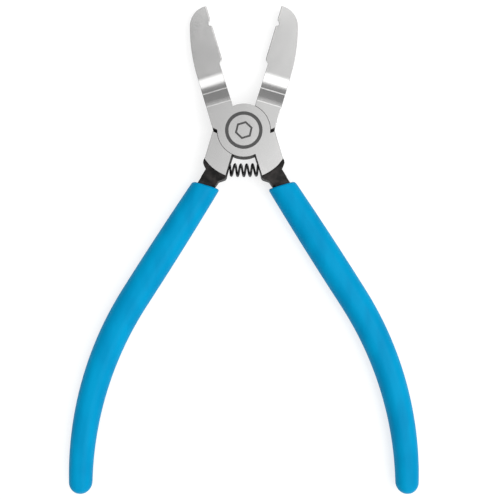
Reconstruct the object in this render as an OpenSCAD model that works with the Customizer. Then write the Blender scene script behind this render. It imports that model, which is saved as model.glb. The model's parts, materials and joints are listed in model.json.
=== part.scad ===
// Lap-joint pliers with thin set-back jaws, a return spring and dipped grips.
// The tool lies on its back face: X across, Y towards the jaws, Z up through the head.
// The origin is on the pivot axis, in the plane of the back face.
// Each lever is drawn with the jaws closed on the line x = 0 and is then turned open.

/* [Head] */
// Thickness of the head over its two ground faces
head_t = 11; // [9:0.1:14]
// Half of the head's width with the jaws closed
head_half_w = 12.1; // [11.6:0.1:14]
// Radius of the half-thickness boss on each lever
boss_r = 10.9; // [9:0.1:11]
// Radius about the pivot to which the faces are ground
ground_r = 20; // [18:0.1:22]
// How far the black forging lies below each ground face
ground_step = 0.9; // [0.4:0.1:1.5]
// Slope of the forged walls between the tangs, from mid-thickness to a face
forged_draft = 0.5; // [0.2:0.05:0.8]

/* [Jaws] */
// Reach of the jaw tips from the pivot
jaw_len = 54.6; // [50:0.1:66]
// Radius of the rounded tip
tip_r = 8.8; // [7.5:0.1:10]
// Radius of each blade's long bowed back
back_r = 72; // [60:1:120]
// Thickness of each blade
blade_t = 2.3; // [1.8:0.1:4.5]
// Set-back of the neck from the centre line
neck_relief = 1.5; // [0.8:0.05:2.5]
// Distance from the pivot at which the head starts to thin
shoulder_y = 13.3; // [12.5:0.1:14.5]
// Length of the first chamfer
chamfer_l = 1.7; // [0.5:0.1:2.5]
// Drop of the first chamfer
chamfer_drop = 0.6; // [0.3:0.05:0.8]
// Length of the rounded brow after the chamfer
brow_l = 4; // [3:0.1:6]
// Drop of the rounded brow
brow_drop = 1.85; // [0.8:0.05:2.2]
// Sweep of the rounded brow's arc, in degrees
brow_sweep = 3; // [2:1:20]
// Width of the flat ledge between the brow and the hollow
ledge_l = 0.35; // [0.2:0.05:0.8]
// Length of the hollow that runs out into the blade
hollow_l = 8.2; // [6:0.1:10]
// Start of the working edge, measured from the pivot
edge_y = 31.5; // [30:0.1:36]
// Length of the slanted run-in from the neck to the working edge
run_in_l = 1.4; // [1:0.1:3]
// Distance from the pivot to the near side of the tip notch
notch_y = 46; // [42:0.1:48]
// Length of the tip notch along the edge
notch_l = 2.8; // [1.5:0.1:3.5]
// Depth of the tip notch
notch_d = 1.2; // [0.5:0.1:1.8]
// Width of the bevel along the working edge
bevel_w = 0.3; // [0.2:0.05:1.5]
// Depth of that bevel on each face
bevel_d = 0.3; // [0.2:0.05:0.8]

/* [Handles] */
// Distance of the handle's root inside the head's outer side
handle_inset = 5.7; // [5.2:0.1:6.4]
// Distance from the pivot down to the handle's root
handle_y = 18; // [17:0.1:19]
// Width of the handle bar
shank_w = 7; // [6:0.1:8.4]
// Thickness of the handle bar inside the grip
shank_t = 7; // [5:0.1:8]
// Chamfer along the handle bar's four edges
shank_chamfer = 1.2; // [0.4:0.1:2]
// Distance from the centre line to the tangs' inner walls, closed
tang_gap = 1.3; // [1:0.05:2]
// Slope of the straight stretch, away from the centre line, in degrees
handle_angle = 16; // [13:0.5:18]
// Length of the straight stretch
handle_straight = 63.5; // [50:0.5:80]
// Radius of the bowed stretch
bow_r = 143; // [120:1:180]
// Angle through which the bowed stretch turns, in degrees
bow_angle = 32.5; // [20:0.5:38]

/* [Grips] */
// Width of each grip where it is fullest
grip_w = 12.5; // [11.4:0.1:15]
// Thickness of each grip where it is fullest
grip_t = 10.9; // [10:0.1:11]
// Distance from the handle's root to the fullest place
grip_full = 52; // [40:1:70]
// Width of each grip at the handle's root
grip_root_w = 10.8; // [10:0.1:12]
// Width of each grip at its end
grip_end_w = 9.7; // [9:0.1:12]
// Distance from the pivot down to the mouth of each grip
dip_y = 25.9; // [24:0.1:32]
// Length of the rounded end
grip_cap = 5; // [4:0.1:7]
// Gap between the handle bar and the inside of its grip
grip_gap = 0.05; // [0.02:0.01:0.2]

/* [Pivot] */
// Radius of the rivet's shank
rivet_r = 3; // [2:0.1:4]
// Radius of the rivet's countersunk head
rivet_head_r = 4.6; // [4.4:0.1:6]
// Depth of the rivet's countersunk head
rivet_head_d = 1.6; // [1:0.1:2.5]
// Metal left in front of the rivet's blind hole
rivet_skin = 1.5; // [0.8:0.1:2.5]

/* [Return spring] */
// Wire diameter
wire_d = 1; // [0.8:0.05:1.3]
// Outside diameter of the coil
coil_d = 5.8; // [4.6:0.1:6.2]
// Number of turns
coils = 8; // [5:1:8]
// Distance from the pivot to the spring's line at mid travel
spring_y = 16.5; // [15.6:0.1:16.8]
// Depth to which each end of the spring sits in its tang
spring_hold = 4; // [3:0.1:4.5]
// Free depth below each end of the spring
seat_spare = 0.5; // [0.3:0.1:1]
// Gap round the coil in its seat
seat_clear = 0.35; // [0.2:0.05:0.5]

/* [Motion and fits] */
// Turn of each lever from closed to open, in degrees
half_open = 16.6; // [10:0.1:17.5]
// Gap between the two half-thickness bosses
lap_gap = 0.04; // [0.02:0.01:0.1]
// Gap between a boss and the recess that it turns in
recess_gap = 0.12; // [0.1:0.01:0.4]
// Radial clearance of the rivet in the back lever
pin_clear = 0.04; // [0.01:0.01:0.1]
// Distance of each working edge from the centre line, closed
edge_gap = 0.03; // [0.02:0.01:0.2]
// Gap left at each pair of stop faces, open
stop_gap = 0.06; // [0.04:0.01:0.2]
// Width of the slot in front of and behind the stop faces
slot_w = 1.2; // [0.6:0.1:1.6]
// Lean of those slots from the line through the pivot, in degrees
slot_lean = 25; // [0:1:35]
// Thickness of the land that takes the stop
stop_land = 3; // [2:0.1:5]

/* [Mark] */
// Outside radius of the etched ring
mark_r = 7.7; // [6:0.1:8.5]
// Width of the etched ring
mark_band = 1.4; // [0.6:0.1:1.8]
// Size of the etched hexagon, across its corners
mark_hex = 7.6; // [5:0.1:9]
// Width of the hexagon's line
mark_line = 0.8; // [0.5:0.1:1]
// Depth of the etching
mark_depth = 0.12; // [0.05:0.01:0.3]

/* [Hidden] */
$fn = 96;
steel = [0.78, 0.78, 0.78];
black = [0.13, 0.12, 0.12];
blue = [0.0, 0.62, 0.86];
mid = head_t / 2;
over = 1;
far = 40;
tip_steps = 24;
back_steps = 10;
brow_steps = 6;
hollow_steps = 12;

function turned(p, a) = [p.x * cos(a) - p.y * sin(a), p.x * sin(a) + p.y * cos(a)];

// Points along an arc about a centre
function arc(c, r, from, to, n) =
    [for (i = [0 : n]) let (a = from + (to - from) * i / n) c + r * [cos(a), sin(a)]];

// Jaw outline, closed: the stop face, the outer side, the rounded tip and the working edge
edge_x = -edge_gap;
root_r = boss_r - 3;
stop_from = boss_r - 2;
slot_reach = head_half_w - stop_from;
stop_shift = stop_gap / 2 * [sin(half_open), cos(half_open)];
stop_inner = stop_from * [-cos(half_open), sin(half_open)] + stop_shift;
stop_outer = [-head_half_w, head_half_w * tan(half_open)] + stop_shift;
hollow_end_y = shoulder_y + chamfer_l + brow_l + ledge_l + hollow_l;
back_c = [back_r - head_half_w, hollow_end_y];
tip_rise = jaw_len - tip_r - back_c.y;
back_turn = asin(tip_rise / (back_r - tip_r));
tip_c = back_c + (back_r - tip_r) * [-cos(back_turn), sin(back_turn)];
notch_floor = edge_x - notch_d;
notch_slant = notch_d / 3;
jaw_outline = concat(
    [
        [-neck_relief, root_r],
        stop_inner,
        stop_outer,
        [-head_half_w, shoulder_y]
    ],
    arc(back_c, back_r, 180, 180 - back_turn, back_steps),
    arc(tip_c, tip_r, 180 - back_turn, acos((edge_x - tip_c.x) / tip_r), tip_steps),
    [
        [edge_x, notch_y + notch_l],
        [notch_floor, notch_y + notch_l - notch_d],
        [notch_floor, notch_y + notch_slant],
        [edge_x, notch_y],
        [edge_x, edge_y],
        [-neck_relief, edge_y - run_in_l]
    ]
);

// Height of the jaw's upper surface over mid-thickness, from the head out to the blade
chamfer_end = [shoulder_y + chamfer_l, mid - chamfer_drop];
brow_end = chamfer_end + [brow_l, -brow_drop];
brow_tilt = atan(brow_drop / brow_l);
brow_r = norm([brow_l, brow_drop]) / 2 / sin(brow_sweep / 2);
brow_from = 90 - brow_tilt + brow_sweep / 2;
brow_c = chamfer_end - brow_r * [cos(brow_from), sin(brow_from)];
hollow_start = brow_end + [ledge_l, 0];
hollow_drop = hollow_start.y - blade_t / 2;
hollow_sweep = 2 * atan(hollow_drop / hollow_l);
hollow_r = hollow_l / sin(hollow_sweep);
hollow_c = hollow_start + [hollow_l, hollow_r - hollow_drop];
jaw_profile = concat(
    [[shoulder_y, mid + over], [shoulder_y, mid]],
    arc(brow_c, brow_r, brow_from, brow_from - brow_sweep, brow_steps),
    arc(hollow_c, hollow_r, -90 - hollow_sweep, -90, hollow_steps),
    [[jaw_len + over, blade_t / 2], [jaw_len + over, mid + over]]
);

// The handle's centre line, by length from its root: a straight stretch, then a bow
handle_root = [head_half_w - handle_inset, -handle_y];
handle_dir = [sin(handle_angle), -cos(handle_angle)];
handle_l = handle_straight + bow_r * bow_angle * PI / 180;
bow_c = handle_root + handle_straight * handle_dir
    - bow_r * [cos(handle_angle), sin(handle_angle)];
function heading(s) = handle_angle - max(0, s - handle_straight) / bow_r * 180 / PI;
function handle_point(s) =
    s <= handle_straight
    ? handle_root + s * handle_dir
    : bow_c + bow_r * [cos(heading(s)), sin(heading(s))];
function handle_side(s, w) = handle_point(s) + w * [cos(heading(s)), sin(heading(s))];

// The bar starts inside the tang and stops short of the grip's end; its bowed stretch is a little
// thinner all round and starts inside the straight one
bar_root = -3;
bar_short = 2;
bar_lap = 1;
bar_inset = 0.2;
bar_bow = bow_angle - bar_short;

// The bare bar thins from the head to the grip between these lengths
ramp_start = 1.5;
ramp_end = 6.5;

// The bar's section, chamfered at its corners
function bar_section(gap) =
    let (a = shank_w / 2 + gap, b = shank_t / 2 + gap, c = shank_chamfer)
    [
        [a, b - c],
        [a - c, b],
        [c - a, b],
        [-a, b - c],
        [-a, c - b],
        [c - a, -b],
        [a - c, -b],
        [a, c - b]
    ];

// Tang outline, closed: the stop face, the outer side, the black shoulder and the inner wall
shoulder_points = [[0, 2.8], [0.35, 1.6], [0.15, 0.4], [-0.75, -0.8]];
waist_outer = 2.4;
waist_inner = 4.2;
tang_foot = 20.7;
foot_cut = [1.1, 1];
tang_outline = concat(
    [[tang_gap, -root_r], -stop_inner, -stop_outer],
    [for (p = shoulder_points) [head_half_w, -handle_y] + p],
    [
        handle_side(waist_outer, shank_w / 2),
        handle_side(ramp_end, shank_w / 2),
        handle_side(ramp_end, -shank_w / 2),
        handle_side(waist_inner, -shank_w / 2),
        [tang_gap + foot_cut.x, -tang_foot - foot_cut.y],
        [tang_gap, -tang_foot]
    ]
);

// Seat of the spring: its mouth and floor, on a line across the tool at mid travel
seat_turn = half_open / 2;
seat_mouth = tang_gap / cos(seat_turn) + spring_y * tan(seat_turn);
seat_floor = seat_mouth + spring_hold + seat_spare;

// Centre line of the open spring: a shallow arc between the two seats
spring_tip = turned([seat_mouth + spring_hold, -spring_y], seat_turn);
spring_arc_r = spring_tip.x / sin(seat_turn);
spring_arc_c = [0, spring_tip.y + spring_arc_r * cos(seat_turn)];
coil_r = (coil_d - wire_d) / 2;
turn_steps = 20;
wire_sides = 8;
coil_steps = coils * turn_steps;
function coil_point(i) =
    let (
        a = -90 + seat_turn * (2 * i / coil_steps - 1),
        t = 360 * i / turn_steps,
        r = spring_arc_r + coil_r * cos(t)
    )
    [spring_arc_c.x + r * cos(a), spring_arc_c.y + r * sin(a), mid + coil_r * sin(t)];
function coil_out(i) =
    let (a = -90 + seat_turn * (2 * i / coil_steps - 1), t = 360 * i / turn_steps)
    [cos(t) * cos(a), cos(t) * sin(a), sin(t)];
function unit(v) = v / norm(v);
wire_points = [
    for (i = [0 : coil_steps])
        let (
            along = unit(coil_point(i + 0.5) - coil_point(i - 0.5)),
            out = coil_out(i),
            side = unit(cross(along, out))
        )
        for (k = [0 : wire_sides - 1])
            let (u = 360 * k / wire_sides)
            coil_point(i) + wire_d / 2 * (cos(u) * out + sin(u) * side)
];

// Outside of a grip: rounded sections along the handle, then a rounded end
grip_sides = 24;
grip_steps = 28;
cap_steps = 6;
grip_from = 2;
cap_sweep = 86;
squareness = 2.6;
end_taper = 1.6;
function power(v, n) = sign(v) * pow(abs(v), n);
function grip_share(s) =
    s < grip_full
    ? 1 - (1 - grip_root_w / grip_w) * pow(1 - s / grip_full, 2)
    : 1 - (1 - grip_end_w / grip_w)
        * pow((min(s, handle_l) - grip_full) / (handle_l - grip_full), end_taper);
function grip_ring(s, shrink) = [
    for (k = [0 : grip_sides - 1])
        let (
            t = 360 * k / grip_sides,
            half = shrink * grip_share(s) / 2,
            p = handle_side(s, half * grip_w * power(cos(t), 2 / squareness))
        )
        [p.x, p.y, mid + half * grip_t * power(sin(t), 2 / squareness)]
];
grip_points = concat(
    [for (i = [0 : grip_steps]) each grip_ring(grip_from + (handle_l - grip_from) * i / grip_steps, 1)],
    [for (i = [1 : cap_steps])
        let (a = cap_sweep * i / cap_steps)
        each grip_ring(handle_l + grip_cap * sin(a), cos(a))]
);

// Side faces and end caps of a tube built from rings of points
function tube_faces(rings, sides) = concat(
    [for (i = [0 : rings - 2], k = [0 : sides - 1])
        [i * sides + k, i * sides + (k + 1) % sides, (i + 1) * sides + (k + 1) % sides,
            (i + 1) * sides + k]],
    [[for (k = [sides - 1 : -1 : 0]) k]],
    [[for (k = [0 : sides - 1]) (rings - 1) * sides + k]]
);

module above_and_below() {
    children();
    translate([0, 0, head_t])
        rotate([180, 0, 0])
            mirror([0, 1, 0])
                children();
}

// Both jaw faces, thinned from the head to the blade
module jaw_thinning() {
    above_and_below()
        translate([-head_half_w - over, 0, mid])
            rotate([90, 0, 90])
                linear_extrude(head_half_w + 2 * over)
                    polygon(jaw_profile);
}

// The bevel along the working edge on both faces
module edge_bevel() {
    bevel_slope = bevel_d / bevel_w;
    above_and_below()
        translate([0, jaw_len + over, mid])
            rotate([90, 0, 0])
                linear_extrude(jaw_len + over - edge_y + run_in_l)
                    polygon([
                        [edge_x - bevel_w, blade_t / 2],
                        [over, blade_t / 2 - bevel_slope * (bevel_w - edge_x + over)],
                        [over, mid],
                        [edge_x - bevel_w, mid]
                    ]);
}

// Slots in front of and behind the two stop faces
module stop_slots() {
    above_and_below()
        for (side = [-1, 1])
            rotate([0, 0, 90 - half_open - side * 90])
                translate([head_half_w, 0, mid + stop_land / 2])
                    rotate([0, 0, side * slot_lean])
                        translate([-slot_reach, -slot_w / 2, 0])
                            cube([far, slot_w, head_t]);
}

// The draft of the tang's inner wall
module tang_draft() {
    above_and_below()
        translate([0, over - root_r, mid])
            rotate([90, 0, 0])
                linear_extrude(far)
                    polygon([
                        [-over, 0],
                        [tang_gap, 0],
                        [tang_gap + forged_draft, mid],
                        [tang_gap + forged_draft, mid + over],
                        [-over, mid + over]
                    ]);
}

// The black metal beyond the ground faces, and its thinning towards the grip
module forged_faces() {
    above_and_below() {
        translate([0, 0, head_t - ground_step])
            linear_extrude(head_t)
                difference() {
                    translate([0, -far - boss_r])
                        square([far, far]);
                    circle(r = ground_r);
                }
        translate([handle_root.x, handle_root.y, mid])
            rotate([0, 0, handle_angle])
                rotate([90, 0, -90])
                    translate([0, 0, -far / 2])
                        linear_extrude(far)
                            polygon([
                                [ramp_start, mid - ground_step],
                                [ramp_end, shank_t / 2],
                                [far, shank_t / 2],
                                [far, mid + over],
                                [ramp_start, mid + over]
                            ]);
    }
}

module spring_seat() {
    rotate([0, 0, -seat_turn])
        translate([seat_mouth - 2 * over, -spring_y, mid])
            rotate([0, 90, 0])
                cylinder(r = coil_d / 2 + seat_clear, h = seat_floor - seat_mouth + 2 * over);
}

// The handle bar, or with a gap the room for it inside the grip
module bar(gap) {
    translate([handle_root.x, handle_root.y, mid])
        rotate([90, 0, handle_angle])
            translate([0, 0, bar_root])
                linear_extrude(handle_straight - bar_root)
                    polygon(bar_section(gap));
    translate([bow_c.x, bow_c.y, mid])
        rotate([0, 0, handle_angle - bar_bow])
            rotate_extrude(angle = bar_bow + bar_lap, $fn = 360)
                translate([bow_r, 0])
                    polygon(bar_section(gap - bar_inset));
}

// One lever, closed, with its boss in front
module lever() {
    color(steel) {
        translate([0, 0, mid + lap_gap / 2])
            cylinder(r = boss_r, h = mid - lap_gap / 2);
        difference() {
            linear_extrude(head_t)
                polygon(jaw_outline);
            jaw_thinning();
            edge_bevel();
            stop_slots();
            boss_recess();
        }
    }
    color(black)
        difference() {
            union() {
                difference() {
                    linear_extrude(head_t)
                        polygon(tang_outline);
                    tang_draft();
                    stop_slots();
                    forged_faces();
                    boss_recess();
                }
                bar(0);
            }
            spring_seat();
        }
}

// Room behind the boss for the other lever's boss
module boss_recess() {
    translate([0, 0, -over])
        cylinder(r = boss_r + recess_gap, h = mid + lap_gap / 2 + over);
}

// The etched ring and hexagon on the boss
module mark() {
    translate([0, 0, head_t - mark_depth])
        linear_extrude(over) {
            difference() {
                circle(r = mark_r);
                circle(r = mark_r - mark_band);
            }
            difference() {
                circle(d = mark_hex, $fn = 6);
                circle(d = mark_hex - 2 * mark_line / cos(30), $fn = 6);
            }
        }
}

module front_lever() {
    rotate([0, 0, half_open])
        difference() {
            lever();
            cylinder(r = rivet_r, h = head_t - rivet_skin);
            mark();
        }
}

module back_lever() {
    rotate([0, 0, -half_open])
        difference() {
            translate([0, 0, head_t])
                rotate([0, 180, 0])
                    lever();
            translate([0, 0, -over])
                cylinder(r = rivet_r + pin_clear, h = head_t);
            rotate_extrude()
                polygon([
                    [0, -over],
                    [rivet_head_r + pin_clear, -over],
                    [rivet_head_r + pin_clear, pin_clear],
                    [rivet_r + pin_clear, rivet_head_d + pin_clear],
                    [0, rivet_head_d + pin_clear]
                ]);
        }
}

module pivot_rivet() {
    color(steel)
        rotate_extrude()
            polygon([
                [0, 0],
                [rivet_head_r, 0],
                [rivet_r, rivet_head_d],
                [rivet_r, head_t - rivet_skin],
                [0, head_t - rivet_skin]
            ]);
}

module return_spring() {
    color(black)
        polyhedron(points = wire_points, faces = tube_faces(coil_steps + 1, wire_sides));
}

// One grip, closed, on the handle at the right
module grip() {
    color(blue)
        difference() {
            polyhedron(points = grip_points,
                faces = tube_faces(grip_steps + cap_steps + 1, grip_sides));
            translate([-far, -dip_y, -head_t])
                cube([2 * far, far, 3 * head_t]);
            bar(grip_gap);
        }
}

module left_grip() {
    rotate([0, 0, -half_open])
        mirror([1, 0, 0])
            grip();
}

module right_grip() {
    rotate([0, 0, half_open])
        grip();
}

front_lever();
back_lever();
pivot_rivet();
return_spring();
left_grip();
right_grip();
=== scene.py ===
# Spring-opening lap-joint pliers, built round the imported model, in metres and in its frame:
# the tool lies on its back, +Y towards the jaws, +Z out of the front face, pivot at the origin.
import json
from math import cos, hypot, pi, radians, sin, tan

import bmesh
import bpy
from mathutils import Matrix, Vector


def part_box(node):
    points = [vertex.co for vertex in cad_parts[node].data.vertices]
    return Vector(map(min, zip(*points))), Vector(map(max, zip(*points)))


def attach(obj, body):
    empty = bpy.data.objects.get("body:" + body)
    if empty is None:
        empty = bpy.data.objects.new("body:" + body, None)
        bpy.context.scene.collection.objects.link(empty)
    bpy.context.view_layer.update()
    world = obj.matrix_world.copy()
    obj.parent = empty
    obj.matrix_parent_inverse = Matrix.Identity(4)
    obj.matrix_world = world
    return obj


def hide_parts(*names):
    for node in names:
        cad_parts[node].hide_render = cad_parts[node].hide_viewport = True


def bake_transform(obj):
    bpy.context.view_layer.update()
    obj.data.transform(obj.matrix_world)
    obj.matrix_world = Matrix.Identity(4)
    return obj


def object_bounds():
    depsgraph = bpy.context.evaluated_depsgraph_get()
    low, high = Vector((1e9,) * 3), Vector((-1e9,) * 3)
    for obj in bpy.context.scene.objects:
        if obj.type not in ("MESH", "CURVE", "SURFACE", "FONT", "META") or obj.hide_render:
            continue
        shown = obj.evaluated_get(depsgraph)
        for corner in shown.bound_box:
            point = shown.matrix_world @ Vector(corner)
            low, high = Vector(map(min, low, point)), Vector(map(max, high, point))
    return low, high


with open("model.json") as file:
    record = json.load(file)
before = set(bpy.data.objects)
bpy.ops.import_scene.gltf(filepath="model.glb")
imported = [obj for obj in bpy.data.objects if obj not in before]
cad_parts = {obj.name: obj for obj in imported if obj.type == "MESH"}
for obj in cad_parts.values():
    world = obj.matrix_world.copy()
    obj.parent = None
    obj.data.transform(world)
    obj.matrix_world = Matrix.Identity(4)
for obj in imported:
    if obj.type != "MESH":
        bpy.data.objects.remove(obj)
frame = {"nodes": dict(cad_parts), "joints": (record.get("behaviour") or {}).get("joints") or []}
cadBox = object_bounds()
print("frame loaded:", sorted(frame["nodes"]))

mm = 0.001
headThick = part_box("front_lever")[1].z
midHeight = headThick / 2
halfOpen = radians(frame["joints"][0]["range_deg"][1] / 2)  # each lever's turn from closed to open


# Shader sockets that take part in sums, and the one way to add any other node
class Signal:
    def __init__(self, tree, socket=None):
        self.tree = tree
        self.socket = socket

    def node(self, kind, settings, inputs, output=0):
        made = self.tree.nodes.new(kind)
        for key, value in settings.items():
            setattr(made, key, value)
        for key, value in inputs.items():
            self.feed(made.inputs[key], value)
        return Signal(self.tree, made.outputs[output])

    def feed(self, into, value):
        if isinstance(value, Signal):
            self.tree.links.new(value.socket, into)
        else:
            into.default_value = value

    def maths(self, operation, first, second):
        return self.node("ShaderNodeMath", {"operation": operation}, {0: first, 1: second})

    def __add__(self, other):
        return self.maths("ADD", self, other)

    __radd__ = __add__

    def __mul__(self, other):
        return self.maths("MULTIPLY", self, other)

    __rmul__ = __mul__

    def __sub__(self, other):
        return self.maths("SUBTRACT", self, other)

    def __rsub__(self, other):
        return self.maths("SUBTRACT", other, self)

    def between(self, low, high, toLow=0.0, toHigh=1.0):
        return self.node(
            "ShaderNodeMapRange",
            {"interpolation_type": "SMOOTHSTEP"},
            {"Value": self, "From Min": low, "From Max": high, "To Min": toLow, "To Max": toHigh},
        )

    def blendColours(self, first, second):  # self is the share of the second
        return self.node("ShaderNodeMix", {"data_type": "RGBA"}, {0: self, 6: first, 7: second}, 2)


def grey(level, warmth=0.0):
    return (level * (1 + warmth), level, level * (1 - warmth), 1.0)


# Noise on the piece's own coordinates, stretched by a scale for each axis, in cells a metre
def grain(shader, scale, turn=0.0, detail=3.0, roughness=0.55):
    place = shader.node("ShaderNodeTexCoord", {}, {}, "Object")
    stretched = shader.node(
        "ShaderNodeMapping",
        {"vector_type": "TEXTURE"},
        {"Vector": place, "Rotation": (0, 0, turn), "Scale": [1 / s for s in scale]},
    )
    return shader.node(
        "ShaderNodeTexNoise",
        {},
        {"Vector": stretched, "Scale": 1.0, "Detail": detail, "Roughness": roughness},
        "Fac",
    )


def makeMaterial(name, fixed, paint):
    material = bpy.data.materials.new(name)
    material.use_nodes = True
    shader = Signal(material.node_tree)
    surface = material.node_tree.nodes["Principled BSDF"]
    for key, value in fixed.items():
        surface.inputs[key].default_value = value
    for key, value in paint(shader).items():
        shader.feed(surface.inputs[key], value)
    return material


def bump(shader, height, depth, strength=1.0):
    return shader.node(
        "ShaderNodeBump", {}, {"Height": height, "Distance": depth, "Strength": strength}
    )


steelLook = {
    "colour": 0.62,
    "colourSpread": 0.04,
    "roughness": 0.20,
    "roughnessSpread": 0.10,
    "streaks": (9000, 260, 9000),  # fine lines left by the grinding belt, along the lever
    "clouds": (140, 90, 140),
    "depth": 0.0000022,
}


# Ground and satin-finished steel, its lines along the lever's own length
def makeGroundSteel(name, turn):
    def paint(shader):
        streaks = grain(shader, steelLook["streaks"], turn, 2.0)
        clouds = grain(shader, steelLook["clouds"], turn, 3.0)
        spread = steelLook["colourSpread"]
        low, high = grey(steelLook["colour"] - spread), grey(steelLook["colour"] + spread, 0.01)
        return {
            "Base Color": (streaks * 0.5 + clouds * 0.5).blendColours(low, high),
            "Roughness": steelLook["roughness"]
            + (streaks - 0.5) * steelLook["roughnessSpread"]
            + (clouds - 0.5) * (steelLook["roughnessSpread"] * 0.8),
            "Normal": bump(shader, streaks, steelLook["depth"]),
        }

    return makeMaterial(name, {"Metallic": 1.0}, paint)


blackLook = {
    "dark": (0.010, 0.0095, 0.0095, 1),
    "light": (0.034, 0.030, 0.029, 1),
    "roughness": 0.55,
    "pits": (2600, 2600, 2600),
    "clouds": (320, 320, 320),
    "depth": 0.00003,
}


# Black oxide over the forged skin: slightly warm, finely pitted
def makeBlackOxide(name):
    def paint(shader):
        pits = grain(shader, blackLook["pits"], 0, 4.0, 0.65)
        clouds = grain(shader, blackLook["clouds"], 0, 3.0)
        return {
            "Base Color": clouds.between(0.35, 0.7).blendColours(
                blackLook["dark"], blackLook["light"]
            ),
            "Roughness": blackLook["roughness"] + (pits - 0.5) * 0.22,
            "Normal": bump(shader, pits, blackLook["depth"], 0.8),
        }

    return makeMaterial(name, {"Metallic": 0.1, "Specular IOR Level": 0.14}, paint)


# The mark's etched floor: dull, dark grey
def makeEtching(name):
    def paint(shader):
        pits = grain(shader, (5200, 5200, 5200), 0, 3.0, 0.7)
        return {
            "Base Color": pits.between(0.3, 0.75).blendColours(grey(0.055), grey(0.105)),
            "Roughness": 0.55 + (pits - 0.5) * 0.3,
            "Normal": bump(shader, pits, 0.00001),
        }

    return makeMaterial(name, {"Metallic": 0.55}, paint)


# The rivet's head, turned: fine rings about the pivot
def makeTurnedSteel(name):
    def paint(shader):
        place = shader.node("ShaderNodeTexCoord", {}, {}, "Object")
        flat = shader.node(
            "ShaderNodeVectorMath", {"operation": "MULTIPLY"}, {0: place, 1: (1, 1, 0)}
        )
        radius = shader.node(
            "ShaderNodeVectorMath", {"operation": "LENGTH"}, {0: flat}, "Value"
        )
        rings = shader.node(
            "ShaderNodeTexNoise", {"noise_dimensions": "1D"},
            {"W": radius * 5200, "Scale": 1.0, "Detail": 2.0}, "Fac",
        )
        return {
            "Base Color": rings.blendColours(grey(0.48), grey(0.62)),
            "Roughness": 0.3 + (rings - 0.5) * 0.2,
            "Normal": bump(shader, rings, 0.000004),
        }

    return makeMaterial(name, {"Metallic": 1.0}, paint)


# Drawn wire under a thin black coat
def makeWireBlack(name):
    def paint(shader):
        pits = grain(shader, (3800, 3800, 3800), 0, 3.0)
        return {
            "Base Color": pits.blendColours(grey(0.006), grey(0.018, 0.03)),
            "Roughness": 0.34 + (pits - 0.5) * 0.2,
            "Normal": bump(shader, pits, 0.000006),
        }

    return makeMaterial(name, {"Metallic": 0.2}, paint)


vinylLook = {
    "deep": (0.0, 0.272, 0.535, 1),
    "bright": (0.0, 0.327, 0.614, 1),
    "roughness": 0.42,
    "ripple": (170, 60, 170),  # the slow waves of a dipped coat, along the handle
    "peel": (1500, 1500, 1500),
    "rippleDepth": 0.00006,
    "peelDepth": 0.000006,
}


# Dipped vinyl: evenly blue, with slow waves and a fine orange-peel skin
def makeVinyl(name):
    def paint(shader):
        ripple = grain(shader, vinylLook["ripple"], 0, 2.0, 0.4)
        peel = grain(shader, vinylLook["peel"], 0, 2.0)
        skin = bump(shader, peel, vinylLook["peelDepth"])
        waves = shader.node(
            "ShaderNodeBump", {},
            {"Height": ripple, "Distance": vinylLook["rippleDepth"], "Strength": 1.0, "Normal": skin},
        )
        return {
            "Base Color": ripple.between(0.25, 0.75).blendColours(
                vinylLook["deep"], vinylLook["bright"]
            ),
            "Roughness": vinylLook["roughness"] + (peel - 0.5) * 0.08 + (ripple - 0.5) * 0.06,
            "Normal": waves,
        }

    return makeMaterial(name, {"Specular IOR Level": 0.04}, paint)


frontSteel = makeGroundSteel("groundSteelFront", halfOpen)
backSteel = makeGroundSteel("groundSteelBack", -halfOpen)
blackOxideAndPaintedShade = makeBlackOxide("blackOxideAndPaintedShade")
etching = makeEtching("etchedMark")
turnedSteel = makeTurnedSteel("turnedSteel")
wireBlack = makeWireBlack("wireBlack")
vinyl = makeVinyl("dippedVinyl")
print("materials made")


# Working on one object at a time
def pick(piece):
    if bpy.context.object and bpy.context.object.mode != "OBJECT":
        bpy.ops.object.mode_set(mode="OBJECT")
    bpy.ops.object.select_all(action="DESELECT")
    bpy.context.view_layer.objects.active = piece
    piece.select_set(True)


def edit(piece):
    pick(piece)
    bpy.ops.object.mode_set(mode="EDIT")
    bpy.ops.mesh.select_mode(type="EDGE")
    return bmesh.from_edit_mesh(piece.data)


def applyModifier(piece, kind, settings):
    pick(piece)
    modifier = piece.modifiers.new(kind.title(), kind)
    for key, value in settings.items():
        setattr(modifier, key, value)
    bpy.ops.object.modifier_apply(modifier=modifier.name)


def settle(piece):  # place, turn and scale go into the mesh
    pick(piece)
    bpy.ops.object.transform_apply(location=True, rotation=True, scale=True)


def smooth(piece, angle):
    pick(piece)
    bpy.ops.object.shade_smooth_by_angle(angle=radians(angle))
    applyModifier(piece, "WEIGHTED_NORMAL", {"keep_sharp": True, "weight": 60})


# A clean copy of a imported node: loose triangles merged, flat faces joined up again
def cleanCopy(node, name):
    piece = bpy.data.objects.new(name, frame["nodes"][node].data.copy())
    bpy.context.scene.collection.objects.link(piece)
    piece.data.materials.clear()
    edit(piece)
    bpy.ops.mesh.customdata_custom_splitnormals_clear()
    bpy.ops.mesh.select_all(action="SELECT")
    bpy.ops.mesh.remove_doubles(threshold=0.000002)
    bpy.ops.mesh.dissolve_limited(angle_limit=radians(0.4))
    bpy.ops.object.mode_set(mode="OBJECT")
    return piece


# Rounds the edges that wanted(edge) picks
def easeEdges(piece, wanted, width, segments):
    mesh = edit(piece)
    bpy.ops.mesh.select_all(action="DESELECT")
    for edge in mesh.edges:
        edge.select = len(edge.link_faces) == 2 and wanted(edge)
    mesh.select_flush_mode()
    bmesh.update_edit_mesh(piece.data)
    bpy.ops.mesh.bevel(
        offset=width, segments=segments, profile=0.5, affect="EDGES", clamp_overlap=False
    )
    bpy.ops.object.mode_set(mode="OBJECT")


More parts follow.
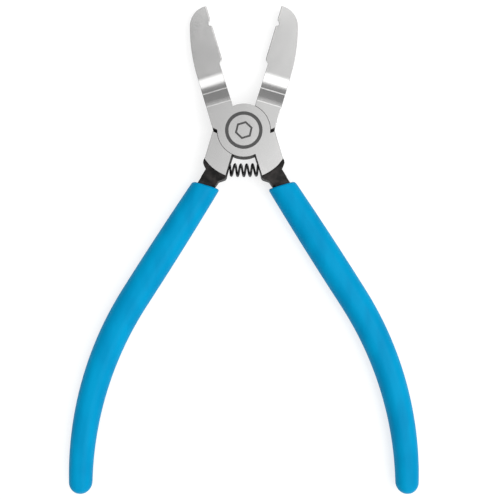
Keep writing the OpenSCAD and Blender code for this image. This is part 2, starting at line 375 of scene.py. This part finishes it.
lever = {
    "bossRadius": 10.9 * mm,
    "groundRadius": 20 * mm,
    "headHalf": 12.1 * mm,
    "shoulderEnd": 15 * mm,  # where the side turns into the black shoulder, below the pivot
    "slot": 1 * mm,
    "markRadius": 8 * mm,
    "markDepth": 0.12 * mm,
    "edge": 0.12 * mm,  # ease along the ground edges
    "seamEdge": 0.04 * mm,  # and round the boss and its recess
    "neckEnd": 27 * mm,
}


# A point of a lever as it was before it was turned: jaws closed, the boss in front
def ownPlace(point, isFront):
    if isFront:
        return Matrix.Rotation(-halfOpen, 3, "Z") @ point
    flat = Matrix.Rotation(halfOpen, 3, "Z") @ point
    return Vector((-flat.x, flat.y, headThick - flat.z))


def ownNormal(normal, isFront):
    if isFront:
        return Matrix.Rotation(-halfOpen, 3, "Z") @ normal
    flat = Matrix.Rotation(halfOpen, 3, "Z") @ normal
    return Vector((-flat.x, flat.y, -flat.z))


# Which finish a face of a lever has: 0 ground steel, 1 black oxide (also laid on the jaw neck's inner
# wall as painted shade), 2 the etched mark
def leverFinish(centre, normal):
    reach = hypot(centre.x, centre.y)
    ahead = centre.y * cos(halfOpen) + centre.x * sin(halfOpen)  # above or below the stop faces
    onFace = abs(normal.z) > 0.95 and abs(abs(centre.z - midHeight) - midHeight) < 0.4 * mm
    if reach < lever["markRadius"] and centre.z > headThick - lever["markDepth"] - 0.01 * mm:
        return 2 if centre.z < headThick - 0.02 * mm else 0
    if reach < lever["bossRadius"] + 0.5 * mm:
        return 0 if onFace else 1
    if abs(ahead) < lever["slot"] and not onFace:
        return 1
    if ahead > 0:  # the jaw is ground steel all over; its neck's inner wall gets the black finish as painted shade, dark where the steel would mirror the bright floor
        return 1 if normal.x > 0.5 and centre.y < lever["neckEnd"] else 0
    if onFace and reach < lever["groundRadius"] + 0.1 * mm:
        return 0
    side = normal.x > 0.6 and centre.x > lever["headHalf"] - 0.5 * mm
    return 0 if side and centre.y > -lever["shoulderEnd"] else 1


def makeLever(node, name, body, steel, isFront):
    piece = cleanCopy(node, name)

    def own(edge):
        return ownPlace((edge.verts[0].co + edge.verts[1].co) / 2, isFront)

    def isSeam(edge):
        place = own(edge)
        reach = hypot(place.x, place.y)
        if reach < lever["markRadius"] and place.z > headThick - 0.5 * mm:
            return False
        return reach < lever["bossRadius"] + 0.3 * mm and edge.calc_face_angle(0) > radians(24)

    def isCrisp(edge):
        place = own(edge)
        if hypot(place.x, place.y) < lever["bossRadius"] + 0.3 * mm:
            return False
        if place.y < -lever["shoulderEnd"] - 1.5 * mm:
            return False
        return edge.calc_face_angle(0) > radians(17)

    easeEdges(piece, isCrisp, lever["edge"], 2)
    easeEdges(piece, isSeam, lever["seamEdge"], 1)
    for vert in piece.data.vertices:  # eased edges stay between the tool's two faces
        vert.co.z = min(max(vert.co.z, 0), headThick)

    for material in (steel, blackOxideAndPaintedShade, etching):
        piece.data.materials.append(material)
    for face in piece.data.polygons:
        face.material_index = leverFinish(
            ownPlace(face.center, isFront), ownNormal(face.normal, isFront)
        )
    smooth(piece, 10)
    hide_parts(node)
    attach(piece, body)
    print(name, len(piece.data.polygons), "faces")
    return piece


makeLever("front_lever", "front-lever", "front", frontSteel, True)
makeLever("back_lever", "back-lever", "back", backSteel, False)


rivet = cleanCopy("pivot_rivet", "pivot-rivet")
easeEdges(rivet, lambda edge: edge.calc_face_angle(0) > radians(24), 0.1 * mm, 2)
rivet.data.materials.append(turnedSteel)
smooth(rivet, 12)
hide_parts("pivot_rivet")
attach(rivet, "front")
print("pivot-rivet made")


# A line for the Curve modifier: its X runs along the points
def bendAlong(piece, points):
    data = bpy.data.curves.new("bendLine", "CURVE")
    data.dimensions = "3D"
    data.twist_mode = "Z_UP"
    spline = data.splines.new("POLY")
    spline.points.add(len(points) - 1)
    for slot, point in zip(spline.points, points):
        slot.co = (*point, 1)
    line = bpy.data.objects.new("bendLine", data)
    bpy.context.scene.collection.objects.link(line)
    applyModifier(piece, "CURVE", {"object": line, "deform_axis": "POS_X"})
    bpy.data.objects.remove(line)
    bpy.data.curves.remove(data)


handle = {
    "root": Vector((6.4 * mm, -18 * mm)),
    "angle": radians(16),  # slope of the straight stretch, away from the centre line
    "straight": 63.5 * mm,
    "bowRadius": 143 * mm,
    "bowAngle": radians(32.5),
}
handleLength = handle["straight"] + handle["bowRadius"] * handle["bowAngle"]


# The handle's centre line, closed, at a length from its root
def handlePoint(length):
    root, angle, radius = handle["root"], handle["angle"], handle["bowRadius"]
    along = Vector((sin(angle), -cos(angle)))
    if length <= handle["straight"]:
        return root + length * along
    centre = root + handle["straight"] * along - radius * Vector((cos(angle), sin(angle)))
    heading = angle - (length - handle["straight"]) / radius
    return centre + radius * Vector((cos(heading), sin(heading)))


grip = {
    "width": 12.46 * mm,  # where it is fullest
    "thick": 10.86 * mm,
    "full": 52 * mm,  # from the handle's root to the fullest place
    "rootShare": 10.8 / 12.5,
    "endShare": 9.7 / 12.5,
    "endTaper": 1.6,
    "corner": 4.7 * mm,  # radius of the section's corners
    "cap": 5 * mm,
    "mouth": 25.9 * mm,  # from the pivot down to the mouth, closed
    "lip": 0.9 * mm,  # the vinyl's rounded edge at the mouth
    "steps": 40,
    "firstRing": 12 * mm,  # clear of the mouth's cut
    "capSteps": 9,
}


# How full the grip is at a length from the handle's root
def gripShare(length):
    if length < grip["full"]:
        return 1 - (1 - grip["rootShare"]) * (1 - length / grip["full"]) ** 2
    beyond = (min(length, handleLength) - grip["full"]) / (handleLength - grip["full"])
    return 1 - (1 - grip["endShare"]) * beyond ** grip["endTaper"]


def makeGrip():
    clearAll()
    here = 2 * mm
    share = gripShare(here)
    bpy.ops.mesh.primitive_plane_add(size=1, location=(here, 0, 0), rotation=(0, pi / 2, 0))
    piece = bpy.context.object
    piece.scale = (grip["thick"] * share, grip["width"] * share, 1)
    settle(piece)
    edit(piece)
    bpy.ops.mesh.select_mode(type="VERT")
    bpy.ops.mesh.select_all(action="SELECT")
    bpy.ops.mesh.bevel(affect="VERTICES", offset=grip["corner"], segments=12, profile=0.5)
    bpy.ops.mesh.select_mode(type="FACE")
    bpy.ops.mesh.select_all(action="SELECT")
    stops = [
        (grip["firstRing"] + (handleLength - grip["firstRing"]) * step / grip["steps"], 1)
        for step in range(grip["steps"] + 1)
    ]
    for step in range(1, grip["capSteps"] + 1):  # the rounded end
        turn = radians(88) * step / grip["capSteps"]
        stops.append((handleLength + grip["cap"] * sin(turn), cos(turn)))
    for there, shrink in stops:
        wanted = gripShare(there) * shrink
        bpy.ops.mesh.extrude_region_move(TRANSFORM_OT_translate={"value": (there - here, 0, 0)})
        bpy.ops.transform.resize(
            value=(1, wanted / share, wanted / share), center_override=(there, 0, 0)
        )
        here, share = there, wanted
    bpy.ops.mesh.select_all(action="SELECT")
    bpy.ops.mesh.normals_make_consistent(inside=False)
    bpy.ops.object.mode_set(mode="OBJECT")
    return piece


def clearAll():
    if bpy.context.object and bpy.context.object.mode != "OBJECT":
        bpy.ops.object.mode_set(mode="OBJECT")
    bpy.ops.object.select_all(action="DESELECT")


# Cuts the mouth square across the tool, then rounds its lip
def cutMouth(piece):
    edit(piece)
    bpy.ops.mesh.select_all(action="SELECT")
    bpy.ops.mesh.bisect(
        plane_co=(0, -grip["mouth"], 0), plane_no=(0, 1, 0), use_fill=True, clear_outer=True
    )
    bpy.ops.mesh.select_all(action="SELECT")
    bpy.ops.mesh.remove_doubles(threshold=0.25 * mm)
    bpy.ops.object.mode_set(mode="OBJECT")
    mesh = edit(piece)
    bpy.ops.mesh.select_mode(type="FACE")
    bpy.ops.mesh.select_all(action="DESELECT")
    for face in mesh.faces:
        face.select = face.normal.y > 0.99 and face.calc_center_median().y > -grip["mouth"] - mm / 10
    bmesh.update_edit_mesh(piece.data)
    bpy.ops.mesh.inset(thickness=grip["lip"] * 1.6, depth=0)
    bpy.ops.mesh.inset(thickness=0.4 * mm, depth=-0.35 * mm)
    bpy.ops.object.mode_set(mode="OBJECT")
    easeEdges(
        piece,
        lambda edge: edge.calc_face_angle(0) > radians(40)
        and edge.verts[0].co.y > -grip["mouth"] - mm / 20,
        grip["lip"],
        5,
    )


def finishGrip(piece, name, node, body, turn):
    piece.name = name
    piece.rotation_euler = (0, 0, turn)
    settle(piece)
    piece.data.materials.append(vinyl)
    smooth(piece, 30)
    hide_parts(node)
    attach(piece, body)
    print(name, len(piece.data.polygons), "faces")


rightGrip = makeGrip()
linePoints = [
    (*handlePoint(handleLength * step / 120), midHeight) for step in range(121)
]
bendAlong(rightGrip, linePoints)
cutMouth(rightGrip)
pick(rightGrip)
bpy.ops.object.duplicate()
leftGrip = bpy.context.object
leftGrip.scale = (-1, 1, 1)
settle(leftGrip)
edit(leftGrip)
bpy.ops.mesh.select_all(action="SELECT")
bpy.ops.mesh.normals_make_consistent(inside=False)
bpy.ops.object.mode_set(mode="OBJECT")
finishGrip(rightGrip, "right-grip", "right_grip", "front", halfOpen)
finishGrip(leftGrip, "left-grip", "left_grip", "back", -halfOpen)


spring = {
    "wire": 1.0 * mm,
    "coil": 5.8 * mm,  # outside
    "coils": 8,
    "line": 16.5 * mm,  # from the pivot down to its line at mid travel
    "hold": 4 * mm,
    "tangGap": 1.3 * mm,
    "turnSteps": 28,
    "wireSides": 14,
    "blendReach": 13.5 * mm,  # less than this crushes the middle turns as the jaws close
}


def makeSpring():
    seatTurn = halfOpen / 2
    mouth = spring["tangGap"] / cos(seatTurn) + spring["line"] * tan(seatTurn)
    tip = Matrix.Rotation(seatTurn, 2) @ Vector((mouth + spring["hold"], -spring["line"]))
    arcRadius = tip.x / sin(seatTurn)
    arcCentre = Vector((0, tip.y + arcRadius * cos(seatTurn)))
    length = 2 * seatTurn * arcRadius
    coilRadius = (spring["coil"] - spring["wire"]) / 2
    clearAll()
    bpy.ops.mesh.primitive_circle_add(
        vertices=spring["wireSides"],
        radius=spring["wire"] / 2,
        location=(0, -coilRadius, 0),
        rotation=(0, 0, 0),
    )
    piece = bpy.context.object
    piece.name = "return-spring"
    settle(piece)
    applyModifier(
        piece,
        "SCREW",
        {
            "axis": "X",
            "angle": -2 * pi,
            "screw_offset": length / spring["coils"],
            "iterations": spring["coils"],
            "steps": spring["turnSteps"],
            "render_steps": spring["turnSteps"],
            "use_merge_vertices": False,
        },
    )
    mesh = edit(piece)  # closes the wire's two ends
    bpy.ops.mesh.select_all(action="DESELECT")
    bpy.ops.mesh.select_non_manifold(extend=False, use_boundary=True)
    bpy.ops.mesh.edge_face_add()
    bpy.ops.mesh.select_all(action="SELECT")
    bpy.ops.mesh.normals_make_consistent(inside=False)
    bpy.ops.object.mode_set(mode="OBJECT")
    arc = [
        (
            arcCentre.x + arcRadius * sin(seatTurn * (step / 30 - 1)),
            arcCentre.y - arcRadius * cos(seatTurn * (step / 30 - 1)),
            midHeight,
        )
        for step in range(61)
    ]
    bendAlong(piece, arc)
    piece.data.materials.append(wireBlack)
    smooth(piece, 40)
    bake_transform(piece)
    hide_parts("return_spring")
    print("return-spring", len(piece.data.polygons), "faces")


makeSpring()


studio = {
    "cameraPlace": (0.00255, -0.04916, 0.331),
    "lens": 56.2,
    "floorColour": 0.34,
    "floorGlow": 0.72,  # the floor is a light table, so shadows stay faint
    "zenith": 1.06,
    "horizon": 0.34,
    "towardsBack": -1.1,  # how the sky overhead dims towards the jaws' end
    "backWall": 0.33,  # the even wall low behind the jaws
    "left": 0.40,  # share of the sky's light from the left, and from the right
    "right": 1.75,
}


def makeStage():
    clearAll()
    bpy.ops.mesh.primitive_plane_add(size=8, location=(0, 0, cadBox[0].z - 0.1 * mm))
    floor = bpy.context.object
    floor.name = "floor"

    def paint(shader):
        mottle = grain(shader, (6, 6, 6), 0, 2.0)
        low, high = grey(studio["floorColour"] - 0.01), grey(studio["floorColour"] + 0.01)
        return {"Base Color": mottle.blendColours(low, high), "Roughness": 0.8 + mottle * 0.1}

    glow = {"Emission Color": (1, 1, 1, 1), "Emission Strength": studio["floorGlow"]}
    floor.data.materials.append(makeMaterial("paleFloor", glow, paint))


def makeSky():
    world = bpy.data.worlds.new("studioSky")
    world.use_nodes = True
    bpy.context.scene.world = world
    sky = Signal(world.node_tree)
    background = world.node_tree.nodes["Background"]
    background.inputs["Color"].default_value = (1, 1, 1, 1)
    direction = sky.node("ShaderNodeTexCoord", {}, {}, "Generated")
    parts = direction.node("ShaderNodeSeparateXYZ", {}, {0: direction})
    split = parts.socket.node.outputs
    across, ahead, up = (Signal(world.node_tree, split[i]) for i in range(3))
    level = up.between(0.30, 0.85, studio["horizon"], studio["zenith"])
    level = level * across.between(-0.28, 0.30, studio["left"], studio["right"])
    level = level * across.between(0.40, 0.70, 1.0, 0.6)
    level = level * (1 + ahead.between(-0.3, 0.4, -0.3, 0.4) * studio["towardsBack"])
    wall = ahead.between(0.60, 0.80)
    level = level * (1 - wall) + wall * studio["backWall"]
    seen = sky.node("ShaderNodeLightPath", {}, {}, "Is Camera Ray")
    sky.feed(background.inputs["Strength"], seen * (1 - level) + level)


def addSoftbox(name, place, aim, size, power):
    light = bpy.data.lights.new(name, "AREA")
    light.shape = "RECTANGLE"
    light.size, light.size_y = size
    light.energy = power
    lamp = bpy.data.objects.new(name, light)
    bpy.context.scene.collection.objects.link(lamp)
    lamp.location = place
    lamp.rotation_euler = (Vector(aim) - Vector(place)).to_track_quat("-Z", "Y").to_euler()


makeStage()
makeSky()
addSoftbox("backSoftbox", (0.02, 0.494, 0.709), (0, 0.02, 0), (0.90, 0.34), 1.42)
addSoftbox("keySoftbox", (0.38, -0.07, 0.73), (0, -0.07, 0), (0.20, 0.50), 1.5)

cameraData = bpy.data.cameras.new("camera")
cameraData.lens = studio["lens"]
cameraData.clip_start = 0.01
camera = bpy.data.objects.new("camera", cameraData)
bpy.context.scene.collection.objects.link(camera)
camera.location = studio["cameraPlace"]
bpy.context.scene.camera = camera
bpy.context.scene.view_settings.view_transform = "Standard"
print("stage, lights and camera set")
